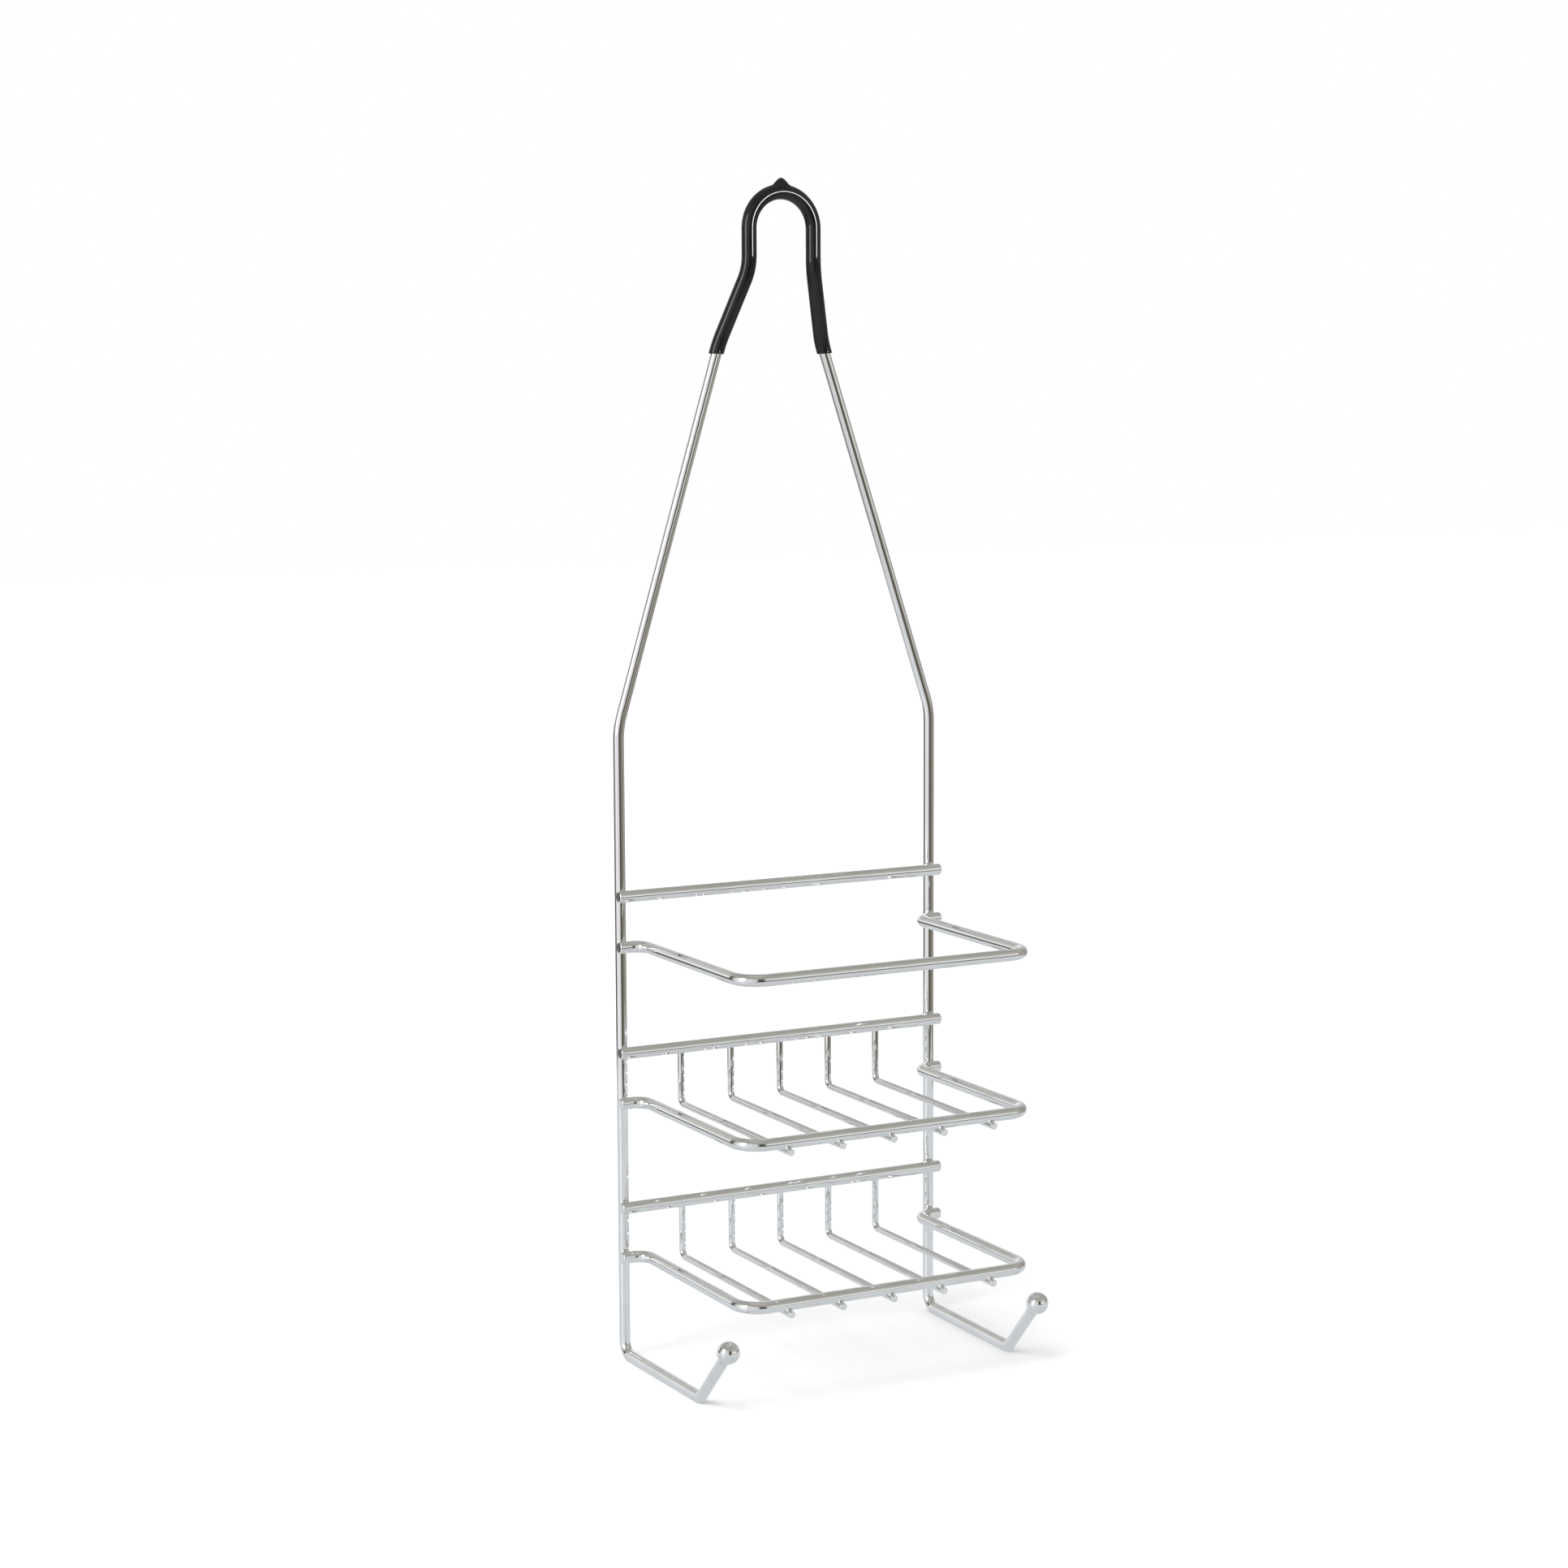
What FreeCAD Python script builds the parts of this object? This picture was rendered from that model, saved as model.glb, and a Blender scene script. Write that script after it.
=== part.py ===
import FreeCAD, Part
import Sketcher
import math
import os

# Hanging shower caddy made of chrome-plated steel wire, resistance-welded where wires cross.
#
# Units are millimetres. +Z is up, +X is to the right and -Y is the front, where bottles go in.
# The origin is the underside of the vinyl grip at the crown of the arch: the point that rests
# on the shower arm. Each "drop" is a distance straight down from that point. The legs stand in
# a plane a little behind the arch, and each "forward" is a distance in front of that plane.

DIMENSIONS = {
    # the frame: one continuous wire from hook tip to hook tip
    "frame_wire_dia": 5.5,
    "leg_spacing": 176.0,
    "arch_radius": 17.8,
    "legs_back": 6.3,
    "neck_drop": 33.5,
    "throat_half_width": 28.7,
    "throat_back": 5.5,
    "throat_drop": 69.5,
    "shoulder_drop": 256.0,
    "hook_drop": 572.0,
    "hook_forward": 83.0,
    "hook_toe_in": 1.3,
    "neck_bend_radius": 30.0,
    "shoulder_bend_radius": 40.0,
    "heel_bend_radius": 6.5,
    "hook_bend_radius": 4.5,
    # hook balls
    "ball_dia": 11.0,
    "ball_forward": 111.0,
    "ball_rise": 29.6,
    "ball_toe_in": 2.2,
    "ball_socket_depth": 2.5,
    # vinyl grip
    "grip_dia": 7.5,
    "grip_end_drop": 75.0,
    "pip_dia": 8.4,
    "pip_tip_dia": 2.6,
    "pip_height": 1.9,
    "pip_sink": 0.9,
    # cross rails
    "rail_dia": 6.0,
    "rail_length": 183.0,
    "top_rail_drop": 339.5,
    "rail_pitch": 78.5,
    "end_rounding": 0.7,
    # front loops
    "loop_dia": 6.0,
    "loop_drop": 25.3,
    "loop_forward": 115.3,
    "arm_spacing": 156.4,
    "stub_spacing": 183.0,
    "stub_bend_radius": 8.0,
    "corner_bend_radius": 12.0,
    # shelf wires
    "shelf_wire_dia": 3.4,
    "shelf_wire_spacing": 27.9,
    "shelf_wire_top": 1.4,
    "shelf_wire_forward": 119.0,
    "shelf_bend_radius": 3.6,
    "shelf_end_rounding": 0.4,
    # how far crossing wires sink into each other at a weld
    "leg_weld_sink": 0.6,
    "shelf_weld_sink": 0.3,
}

SHELF_WIRES = 5
SHEET = "Dimensions"

# Points nearer than this are one point, and a weld saddle takes less than this share of its wire.
SAME_POINT = 1e-6
SADDLE_SHARE = 0.2

doc = FreeCAD.newDocument("shower_caddy")
sheet = doc.addObject("Spreadsheet::Sheet", SHEET)
for row, (alias, size) in enumerate(DIMENSIONS.items(), start=1):
    sheet.set("A%d" % row, alias)
    sheet.set("B%d" % row, str(size))
    sheet.setAlias("B%d" % row, alias)
doc.recompute()

# Places shared by several sub-parts, as expressions on the sheet. CROWN_Z is the height of the
# frame wire's centre line at the top of the arch.
LEG_X = "Dimensions.leg_spacing / 2"
LEG_Y = "Dimensions.legs_back"
CROWN_Z = "Dimensions.grip_dia / 2"
RAIL_FORWARD = "(Dimensions.frame_wire_dia + Dimensions.rail_dia) / 2 - Dimensions.leg_weld_sink"
STUB_FORWARD = "(Dimensions.frame_wire_dia + Dimensions.loop_dia) / 2 - Dimensions.leg_weld_sink"
SHELF_BEHIND_RAIL = "(Dimensions.rail_dia + Dimensions.shelf_wire_dia) / 2 - Dimensions.shelf_weld_sink"
SHELF_BELOW_LOOP = "(Dimensions.loop_dia + Dimensions.shelf_wire_dia) / 2 - Dimensions.shelf_weld_sink"


def value(expression):
    """Number that an expression on the sheet gives."""
    result = sheet.evalExpression(expression)
    return float(getattr(result, "Value", result))


def point(x, y, z):
    """Point in the caddy's frame from three expressions."""
    return FreeCAD.Vector(value(x), value(y), value(z))


def mirrored(points):
    """The same points on the other side of the middle plane, in reverse order."""
    return [FreeCAD.Vector(-p.x, p.y, p.z) for p in reversed(points)]


# ---------------------------------------------------------------- bent wire in space


def bent_path(points, radii):
    """Wire of straight runs joined by tangent arcs, one radius for each inner point."""
    edges = []
    start = points[0]
    for before, corner, after, radius in zip(points, points[1:], points[2:], radii):
        back = (before - corner).normalize()
        ahead = (after - corner).normalize()
        reach = radius / math.tan(back.getAngle(ahead) / 2)
        bisector = (back + ahead).normalize()
        centre = corner + bisector * math.hypot(reach, radius)
        arc_start = corner + back * reach
        arc_end = corner + ahead * reach
        if start.distanceToPoint(arc_start) > SAME_POINT:
            edges.append(Part.LineSegment(start, arc_start).toShape())
        edges.append(Part.Arc(arc_start, centre - bisector * radius, arc_end).toShape())
        start = arc_end
    if start.distanceToPoint(points[-1]) > SAME_POINT:
        edges.append(Part.LineSegment(start, points[-1]).toShape())
    return Part.Wire(edges)


def swept_wire(label, points, radii, diameter):
    """Round wire swept along a bent path; its section is bound to the sheet."""
    path = doc.addObject("Part::Feature", label + "_path")
    path.Shape = bent_path(points, radii)
    ring = doc.addObject("Part::Circle", label + "_section")
    ring.setExpression("Radius", "Dimensions.%s / 2" % diameter)
    direction = points[1] - points[0]
    turn = FreeCAD.Rotation(FreeCAD.Vector(0, 0, 1), direction)
    ring.Placement = FreeCAD.Placement(points[0], turn)
    sweep = doc.addObject("Part::Sweep", label)
    sweep.Sections = [ring]
    sweep.Spine = (path, ["Edge%d" % (n + 1) for n in range(len(path.Shape.Edges))])
    sweep.Solid = True
    sweep.Frenet = False
    return sweep


# ---------------------------------------------------------------- sketches in a body


def origin_plane(body, role):
    return next(item for item in body.Origin.OriginFeatures if item.Role == role)


def new_sketch(body, name, role, offset=None):
    """Sketch on one of the body's own origin planes, moved along its normal by an expression."""
    sketch = body.newObject("Sketcher::SketchObject", name)
    sketch.AttachmentSupport = [(origin_plane(body, role), "")]
    sketch.MapMode = "FlatFace"
    if offset:
        sketch.setExpression("AttachmentOffset.Base.z", offset)
    return sketch


def dimension(sketch, kind, *arguments, expression):
    """Dimensional constraint that follows the sheet."""
    number = sketch.addConstraint(Sketcher.Constraint(kind, *arguments, value(expression)))
    sketch.setExpression("Constraints[%d]" % number, expression)


def draw_circle(sketch, x, y, diameter):
    """Circle whose centre and radius follow the sheet."""
    centre = FreeCAD.Vector(value(x), value(y), 0)
    normal = FreeCAD.Vector(0, 0, 1)
    radius = "%s / 2" % diameter
    number = sketch.addGeometry(Part.Circle(centre, normal, value(radius)))
    dimension(sketch, "Radius", number, expression=radius)
    for axis, place in (("DistanceX", x), ("DistanceY", y)):
        dimension(sketch, axis, -1, 1, number, 3, expression=place)


def draw_bent_line(sketch, corners, radii):
    """Straight runs along the sketch's axes, joined by quarter arcs at the inner corners."""
    places = [FreeCAD.Vector(value(x), value(y), 0) for x, y in corners]
    level = [before[1] == after[1] for before, after in zip(corners, corners[1:])]
    lines = []
    arcs = []
    start = places[0]
    for before, corner, after, radius in zip(places, places[1:], places[2:], radii):
        back = (before - corner).normalize() * value(radius)
        ahead = (after - corner).normalize() * value(radius)
        lines.append(sketch.addGeometry(Part.LineSegment(start, corner + back)))
        turns_left = back.cross(ahead).z < 0
        first_spoke = -ahead if turns_left else -back
        angle = math.atan2(first_spoke.y, first_spoke.x)
        circle = Part.Circle(corner + back + ahead, FreeCAD.Vector(0, 0, 1), value(radius))
        number = sketch.addGeometry(Part.ArcOfCircle(circle, angle, angle + math.pi / 2))
        arcs.append((number, (1, 2) if turns_left else (2, 1), radius))
        start = corner + ahead
    lines.append(sketch.addGeometry(Part.LineSegment(start, places[-1])))

    for line, corner, flat in zip(lines, corners, level):
        direction, axis, place = ("Horizontal", "DistanceY", 1) if flat else ("Vertical", "DistanceX", 0)
        sketch.addConstraint(Sketcher.Constraint(direction, line))
        dimension(sketch, axis, -1, 1, line, 1, expression=corner[place])
    ends = ((lines[0], 1, corners[0], level[0]), (lines[-1], 2, corners[-1], level[-1]))
    for line, vertex, corner, flat in ends:
        axis, place = ("DistanceX", 0) if flat else ("DistanceY", 1)
        dimension(sketch, axis, -1, 1, line, vertex, expression=corner[place])
    for before, after, flat, (arc, (first, second), radius) in zip(lines, lines[1:], level, arcs):
        across, along = ("Vertical", "Horizontal") if flat else ("Horizontal", "Vertical")
        sketch.addConstraint(Sketcher.Constraint("Coincident", before, 2, arc, first))
        sketch.addConstraint(Sketcher.Constraint("Coincident", arc, second, after, 1))
        sketch.addConstraint(Sketcher.Constraint(across, arc, first, arc, 3))
        sketch.addConstraint(Sketcher.Constraint(along, arc, second, arc, 3))
        dimension(sketch, "Radius", arc, expression=radius)


def pipe_along(body, path, section):
    pipe = body.newObject("PartDesign::AdditivePipe", "bent_wire")
    pipe.Profile = section
    pipe.Spine = (path, ["Edge%d" % (n + 1) for n in range(path.GeometryCount)])
    doc.recompute()
    return pipe


def round_ends(body, feature, radius):
    """Break the sharp rims at both cut ends of a wire."""
    rims = []
    for number, face in enumerate(feature.Shape.Faces, start=1):
        if isinstance(face.Surface, Part.Plane):
            rims.append("Face%d" % number)
    fillet = body.newObject("PartDesign::Fillet", "rounded_ends")
    fillet.Base = (feature, rims)
    fillet.setExpression("Radius", radius)
    doc.recompute()
    return fillet


def weld_notches(body, name, role, circles, depth_from=None):
    """Saddles where crossing wires sink in, checked to have removed some metal."""
    sketch = new_sketch(body, name + "_sketch", role, depth_from)
    for x, y, diameter in circles:
        draw_circle(sketch, x, y, diameter)
    doc.recompute()
    before = body.Tip.Shape.Volume
    pocket = body.newObject("PartDesign::Pocket", name)
    pocket.Profile = sketch
    pocket.Type = "ThroughAll"
    pocket.Midplane = depth_from is None
    doc.recompute()
    if not 0 < before - pocket.Shape.Volume < SADDLE_SHARE * before:
        raise RuntimeError("%s of %s cut nothing or too much" % (name, body.Label))


def place_body(body, x, y, z):
    for axis, expression in (("x", x), ("y", y), ("z", z)):
        body.setExpression(".Placement.Base." + axis, expression)


# ---------------------------------------------------------------- sub-parts


def frame_points():
    """Corners of the right half of the frame, from the crown of the arch to the hook's ball."""
    crown_corner = point("Dimensions.arch_radius", "0", CROWN_Z)
    neck = point("Dimensions.arch_radius", "0", "-Dimensions.neck_drop")
    throat_y = LEG_Y + " + Dimensions.throat_back"
    throat = point("Dimensions.throat_half_width", throat_y, "-Dimensions.throat_drop")
    shoulder = point(LEG_X, LEG_Y, "-Dimensions.shoulder_drop")
    heel = point(LEG_X, LEG_Y, "-Dimensions.hook_drop")
    toe_x = LEG_X + " - Dimensions.hook_toe_in"
    toe = point(toe_x, LEG_Y + " - Dimensions.hook_forward", "-Dimensions.hook_drop")
    return [crown_corner, neck, throat, shoulder, heel, toe]


def ball_centre():
    return point(
        LEG_X + " - Dimensions.ball_toe_in",
        LEG_Y + " - Dimensions.ball_forward",
        "Dimensions.ball_rise - Dimensions.hook_drop",
    )


def make_frame_wire():
    """Hook, leg, shoulder, neck and arch, bent from one wire that ends inside the two balls."""
    right = frame_points()
    centre = ball_centre()
    inwards = (right[-1] - centre).normalize()
    tip = centre + inwards * value("Dimensions.ball_dia / 2 - Dimensions.ball_socket_depth")
    right.append(tip)
    bends = ["arch_radius", "neck_bend_radius", "neck_bend_radius"]
    bends += ["shoulder_bend_radius", "heel_bend_radius", "hook_bend_radius"]
    radii = [value("Dimensions." + alias) for alias in bends]
    points = mirrored(right) + right
    return swept_wire("frame_wire", points, radii[::-1] + radii, "frame_wire_dia")


def make_grip(frame_wire):
    """Dipped vinyl over the arch and neck, with the pip that the last drop leaves at the crown."""
    right = frame_points()[:3]
    throat, shoulder = frame_points()[2:4]
    share = (value("-Dimensions.grip_end_drop") - throat.z) / (shoulder.z - throat.z)
    right.append(throat + (shoulder - throat) * share)
    bends = ["arch_radius", "neck_bend_radius", "neck_bend_radius"]
    radii = [value("Dimensions." + alias) for alias in bends]
    skin = swept_wire("grip_skin", mirrored(right) + right, radii[::-1] + radii, "grip_dia")

    cone = doc.addObject("Part::Cone", "pip_cone")
    cone.setExpression("Radius1", "Dimensions.pip_dia / 2")
    cone.setExpression("Radius2", "Dimensions.pip_tip_dia / 2")
    cone.setExpression("Height", "Dimensions.pip_height + Dimensions.pip_sink")
    cone.setExpression(".Placement.Base.z", "Dimensions.grip_dia - Dimensions.pip_sink")
    tip = doc.addObject("Part::Sphere", "pip_tip")
    tip.setExpression("Radius", "Dimensions.pip_tip_dia / 2")
    tip.setExpression(".Placement.Base.z", "Dimensions.grip_dia + Dimensions.pip_height")

    coat = doc.addObject("Part::MultiFuse", "grip_coat")
    coat.Shapes = [skin, cone, tip]
    grip = doc.addObject("Part::Cut", "vinyl_grip")
    grip.Base = coat
    grip.Tool = frame_wire
    return grip


def make_ball(label, side, frame_wire):
    """Ball welded over a hook's tip, with a socket for the end of the wire."""
    sphere = doc.addObject("Part::Sphere", label + "_sphere")
    sphere.setExpression("Radius", "Dimensions.ball_dia / 2")
    across = "%d * (%s - Dimensions.ball_toe_in)" % (side, LEG_X)
    sphere.setExpression(".Placement.Base.x", across)
    sphere.setExpression(".Placement.Base.y", LEG_Y + " - Dimensions.ball_forward")
    sphere.setExpression(".Placement.Base.z", "Dimensions.ball_rise - Dimensions.hook_drop")
    ball = doc.addObject("Part::Cut", label)
    ball.Base = sphere
    ball.Tool = frame_wire
    return ball


def shelf_wire_places():
    """Expressions for the shelf wires' places across the caddy."""
    middle = (SHELF_WIRES - 1) / 2
    return ["%g * Dimensions.shelf_wire_spacing" % (n - middle) for n in range(SHELF_WIRES)]


def make_rail(label, drop, has_shelf):
    """Straight rod across the front of the legs, notched for them and for the shelf wires."""
    body = doc.addObject("PartDesign::Body", label)
    section = new_sketch(body, "section", "YZ_Plane")
    draw_circle(section, "0", "0", "Dimensions.rail_dia")
    rod = body.newObject("PartDesign::Pad", "rod")
    rod.Profile = section
    rod.Midplane = True
    rod.setExpression("Length", "Dimensions.rail_length")
    doc.recompute()
    round_ends(body, rod, "Dimensions.end_rounding")
    legs = [(sign + LEG_X, RAIL_FORWARD, "Dimensions.frame_wire_dia") for sign in ("", "-")]
    weld_notches(body, "leg_saddles", "XY_Plane", legs)
    if has_shelf:
        uprights = [(x, SHELF_BEHIND_RAIL, "Dimensions.shelf_wire_dia") for x in shelf_wire_places()]
        weld_notches(body, "shelf_saddles", "XY_Plane", uprights, "Dimensions.shelf_wire_top")
    place_body(body, "0", "%s - (%s)" % (LEG_Y, RAIL_FORWARD), "-(%s)" % drop)
    return body


def make_loop(label, drop, has_shelf):
    """Front loop: a stub welded across each leg, an arm forward from each and a front bar."""
    body = doc.addObject("PartDesign::Body", label)
    front = "%s - Dimensions.loop_forward" % STUB_FORWARD
    corners = [
        ("-Dimensions.stub_spacing / 2", "0"),
        ("-Dimensions.arm_spacing / 2", "0"),
        ("-Dimensions.arm_spacing / 2", front),
        ("Dimensions.arm_spacing / 2", front),
        ("Dimensions.arm_spacing / 2", "0"),
        ("Dimensions.stub_spacing / 2", "0"),
    ]
    radii = ["Dimensions.stub_bend_radius", "Dimensions.corner_bend_radius"]
    path = new_sketch(body, "path", "XY_Plane")
    draw_bent_line(path, corners, radii + radii[::-1])
    section = new_sketch(body, "section", "YZ_Plane", "-Dimensions.stub_spacing / 2")
    draw_circle(section, "0", "0", "Dimensions.loop_dia")
    doc.recompute()
    pipe = pipe_along(body, path, section)
    round_ends(body, pipe, "Dimensions.end_rounding")
    legs = [(sign + LEG_X, STUB_FORWARD, "Dimensions.frame_wire_dia") for sign in ("", "-")]
    weld_notches(body, "leg_saddles", "XY_Plane", legs)
    if has_shelf:
        below = "-(%s)" % SHELF_BELOW_LOOP
        runners = [(x, below, "Dimensions.shelf_wire_dia") for x in shelf_wire_places()]
        weld_notches(body, "shelf_saddles", "XZ_Plane", runners)
    place_body(body, "0", "%s - (%s)" % (LEG_Y, STUB_FORWARD), "-(%s)" % drop)
    return body


def make_shelf_wire(label, x, rail_drop):
    """L-shaped wire: down from behind the rail, then forward under the loop's front bar."""
    body = doc.addObject("PartDesign::Body", label)
    down = "-(Dimensions.loop_drop + %s)" % SHELF_BELOW_LOOP
    behind = "(%s) - (%s)" % (SHELF_BEHIND_RAIL, RAIL_FORWARD)
    forward = "-(Dimensions.shelf_wire_forward + %s)" % behind
    path = new_sketch(body, "path", "YZ_Plane")
    corners = [("0", "Dimensions.shelf_wire_top"), ("0", down), (forward, down)]
    draw_bent_line(path, corners, ["Dimensions.shelf_bend_radius"])
    section = new_sketch(body, "section", "XY_Plane", "Dimensions.shelf_wire_top")
    draw_circle(section, "0", "0", "Dimensions.shelf_wire_dia")
    doc.recompute()
    pipe = pipe_along(body, path, section)
    round_ends(body, pipe, "Dimensions.shelf_end_rounding")
    place_body(body, x, "%s + %s" % (LEG_Y, behind), "-(%s)" % rail_drop)
    return body


def make_caddy():
    """Every sub-part: the frame, its grip and balls, and three levels of welded wirework."""
    frame_wire = make_frame_wire()
    parts = [frame_wire, make_grip(frame_wire)]
    parts.append(make_ball("hook_ball_left", -1, frame_wire))
    parts.append(make_ball("hook_ball_right", 1, frame_wire))
    for level, name in enumerate(("upper", "middle", "lower")):
        rail_drop = "Dimensions.top_rail_drop + %d * Dimensions.rail_pitch" % level
        has_shelf = name != "upper"
        parts.append(make_rail(name + "_rail", rail_drop, has_shelf))
        loop_drop = rail_drop + " + Dimensions.loop_drop"
        parts.append(make_loop(name + "_loop", loop_drop, has_shelf))
        if has_shelf:
            for number, x in enumerate(shelf_wire_places(), start=1):
                label = "%s_shelf_wire_%d" % (name, number)
                parts.append(make_shelf_wire(label, x, rail_drop))
    return parts


def check_document(parts):
    """Stop before writing if anything failed to build."""
    for item in doc.Objects:
        if {"Invalid", "Error"} & set(item.State):
            raise RuntimeError("%s did not build: %s" % (item.Label, item.State))
    for part in parts:
        shape = part.Shape
        if shape.isNull() or not shape.isValid() or len(shape.Solids) != 1:
            raise RuntimeError("%s is not one valid solid" % part.Label)


parts = make_caddy()
doc.recompute()
check_document(parts)
os.makedirs("parts", exist_ok=True)
for part in parts:
    part.Shape.exportStep("parts/%s.step" % part.Label)
    box = part.Shape.BoundBox
    print("%-22s %9.1f mm3  z %8.2f to %8.2f" % (part.Label, part.Shape.Volume, box.ZMin, box.ZMax))
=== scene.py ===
import math

import bmesh
import bpy
from bpy.props import FloatProperty, FloatVectorProperty, IntProperty, PointerProperty
from bpy.types import Operator, Panel, PropertyGroup
from mathutils import Matrix, Vector


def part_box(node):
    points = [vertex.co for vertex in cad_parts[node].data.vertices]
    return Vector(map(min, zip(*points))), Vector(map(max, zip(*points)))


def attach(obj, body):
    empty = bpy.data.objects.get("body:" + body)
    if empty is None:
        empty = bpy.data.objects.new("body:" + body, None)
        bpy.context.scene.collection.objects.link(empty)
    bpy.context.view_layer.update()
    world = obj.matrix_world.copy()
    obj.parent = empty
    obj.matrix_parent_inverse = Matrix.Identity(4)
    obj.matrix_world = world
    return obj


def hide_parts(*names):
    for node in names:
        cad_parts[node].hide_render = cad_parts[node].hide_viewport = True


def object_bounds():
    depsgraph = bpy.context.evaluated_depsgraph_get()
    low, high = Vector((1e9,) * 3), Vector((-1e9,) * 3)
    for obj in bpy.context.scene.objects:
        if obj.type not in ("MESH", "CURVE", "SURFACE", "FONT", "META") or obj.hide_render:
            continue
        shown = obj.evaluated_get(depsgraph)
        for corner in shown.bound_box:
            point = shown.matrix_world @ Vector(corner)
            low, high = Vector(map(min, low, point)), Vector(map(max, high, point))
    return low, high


bl_info = {
    "name": "Shower Caddy Workshop",
    "version": (1, 0, 0),
    "blender": (4, 5, 0),
    "location": "3D View > Sidebar > Caddy",
    "description": "Bends, welds, plates and dips a hanging wire shower caddy around its CAD frame",
    "category": "Object",
}

# The CAD frame: +Z up, -Y the front, origin under the grip at the crown of the arch, metres.
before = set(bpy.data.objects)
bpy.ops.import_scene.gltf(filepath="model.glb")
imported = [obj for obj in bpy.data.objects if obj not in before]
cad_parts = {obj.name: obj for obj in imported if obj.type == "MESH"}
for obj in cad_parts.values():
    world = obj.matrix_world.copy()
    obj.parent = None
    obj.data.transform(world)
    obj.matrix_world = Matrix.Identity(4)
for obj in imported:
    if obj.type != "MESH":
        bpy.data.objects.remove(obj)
CAD_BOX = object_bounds()
BODY = "root"
LEVELS = ("upper", "middle", "lower")
SHELF_LEVELS = ("middle", "lower")
SHELF_WIRES = 5
GRIP_PIECE = "dipped_vinyl_grip"

# Modelling: distances in metres, counts of flats.
SAME_POINT = 1e-7
RIM_STEPS = 5
LEAST_BEND_STEPS = 4
WELD_FLATS = (28, 18)
BALL_FLATS = (64, 48)

# Patterns in the finishes: noise as cells per metre and detail, bumps as a depth in metres and
# a strength.
PLATE_CLOUDS = (38.0, 3.0)
PLATE_GRAIN = (700.0, 2.0)
PLATE_WAVES = (45.0, 1.0)
WAVE_BUMP = (0.0006, 0.2)
GRAIN_BUMP = (0.000004, 0.2)
COAT_SAGS = (120.0, 1.5)
COAT_PEEL = (1100.0, 2.0)
SAG_BUMP = (0.0003, 0.03)
PEEL_BUMP = (0.000003, 0.08)
VINYL_IOR = 1.42

# Soft boxes: place and target in metres, size in metres, radiance. The window and the lamp are
# placed by distance, by the angle round from the camera, positive to the right, and by height.
KEY_PLACE = (-1.3, -0.9, 1.8)
KEY_TARGET = (0, 0, -0.4)
KEY_SIZE = (1.2, 1.2)
KEY_RADIANCE = 8.0
WINDOW_DISTANCE = 1.702
WINDOW_ROUND = math.radians(-50.27)
WINDOW_HEIGHT = 0.3
WINDOW_SIZE = (0.6, 1.15)
WINDOW_RADIANCE = 5.0
LAMP_DISTANCE = 1.8
LAMP_ROUND = math.radians(55.6)
LAMP_HEIGHT = 0.09
LAMP_TARGET = (0, 0, -0.05)
LAMP_SIZE = (0.3, 0.22)
LAMP_RADIANCE = 42.0
LAMP_SHADE = (0.88, 0.91, 1.0)
SENSOR_WIDTH = 36.0
SHEET_GAP = 0.0002


def length(name, description, default):
    """A size property in metres."""
    return FloatProperty(name=name, description=description, default=default, min=0.0,
                         unit="LENGTH", subtype="DISTANCE", precision=5)


def colour(name, description, default):
    """A scene-linear colour property."""
    return FloatVectorProperty(name=name, description=description, default=default, size=3,
                               min=0.0, max=1.0, subtype="COLOR")


def share(name, description, default):
    """A number from 0 to 1."""
    return FloatProperty(name=name, description=description, default=default, min=0.0, max=1.0,
                         subtype="FACTOR")


# ---------------------------------------------------------------- sizes and finishes


class CaddyWireSizes(PropertyGroup):
    frame_wire: length("Frame wire", "Diameter of the wire of hooks, legs and arch", 0.0055)
    bar_wire: length("Rails and loops", "Diameter of the rails and front loops", 0.006)
    shelf_wire: length("Shelf wire", "Diameter of the shelf wires", 0.0034)
    bar_rounding: length("Bar end rounding", "Radius of the rims at cut bar ends", 0.0007)
    shelf_rounding: length("Shelf end rounding", "Radius of the rims at shelf wire ends", 0.0004)
    sides: IntProperty(name="Sides", description="Flats round a wire before smoothing",
                       default=48, min=12, max=96)
    bend_step: FloatProperty(name="Bend step", description="Turn between two rings of a bend",
                             default=math.radians(4), subtype="ANGLE", unit="ROTATION")


class CaddyFrameSizes(PropertyGroup):
    arch_radius: length("Arch radius", "Centre line radius of the arch", 0.0178)
    crown_height: length("Crown height", "Centre line of the crown above the resting point", 0.00375)
    neck_drop: length("Neck drop", "Depth at which the arch's straight sides end", 0.0335)
    throat_half_width: length("Throat half width", "Half the spread at the throat bend", 0.0287)
    throat_back: length("Throat back", "How far the throat stands behind the arch", 0.0118)
    throat_drop: length("Throat drop", "Depth of the throat bend", 0.0695)
    shoulder_drop: length("Shoulder drop", "Depth of the shoulder bend", 0.256)
    legs_back: length("Legs back", "How far the legs stand behind the arch", 0.0063)
    neck_bend: length("Neck bend", "Bend radius at neck and throat", 0.030)
    shoulder_bend: length("Shoulder bend", "Bend radius at the shoulder", 0.040)
    heel_bend: length("Heel bend", "Bend radius under the leg", 0.0065)
    hook_forward: length("Hook forward", "Run of the hook in front of the leg", 0.083)
    hook_toe_in: length("Toe in", "How far the run turns towards the middle", 0.0013)
    hook_bend: length("Hook bend", "Bend radius at the hook's front", 0.0045)
    ball_socket: length("Ball socket", "How deep the wire's tip goes into the ball", 0.0025)
    ball_fillet: length("Ball fillet", "Width of the weld fillet round the tip", 0.0015)


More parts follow.
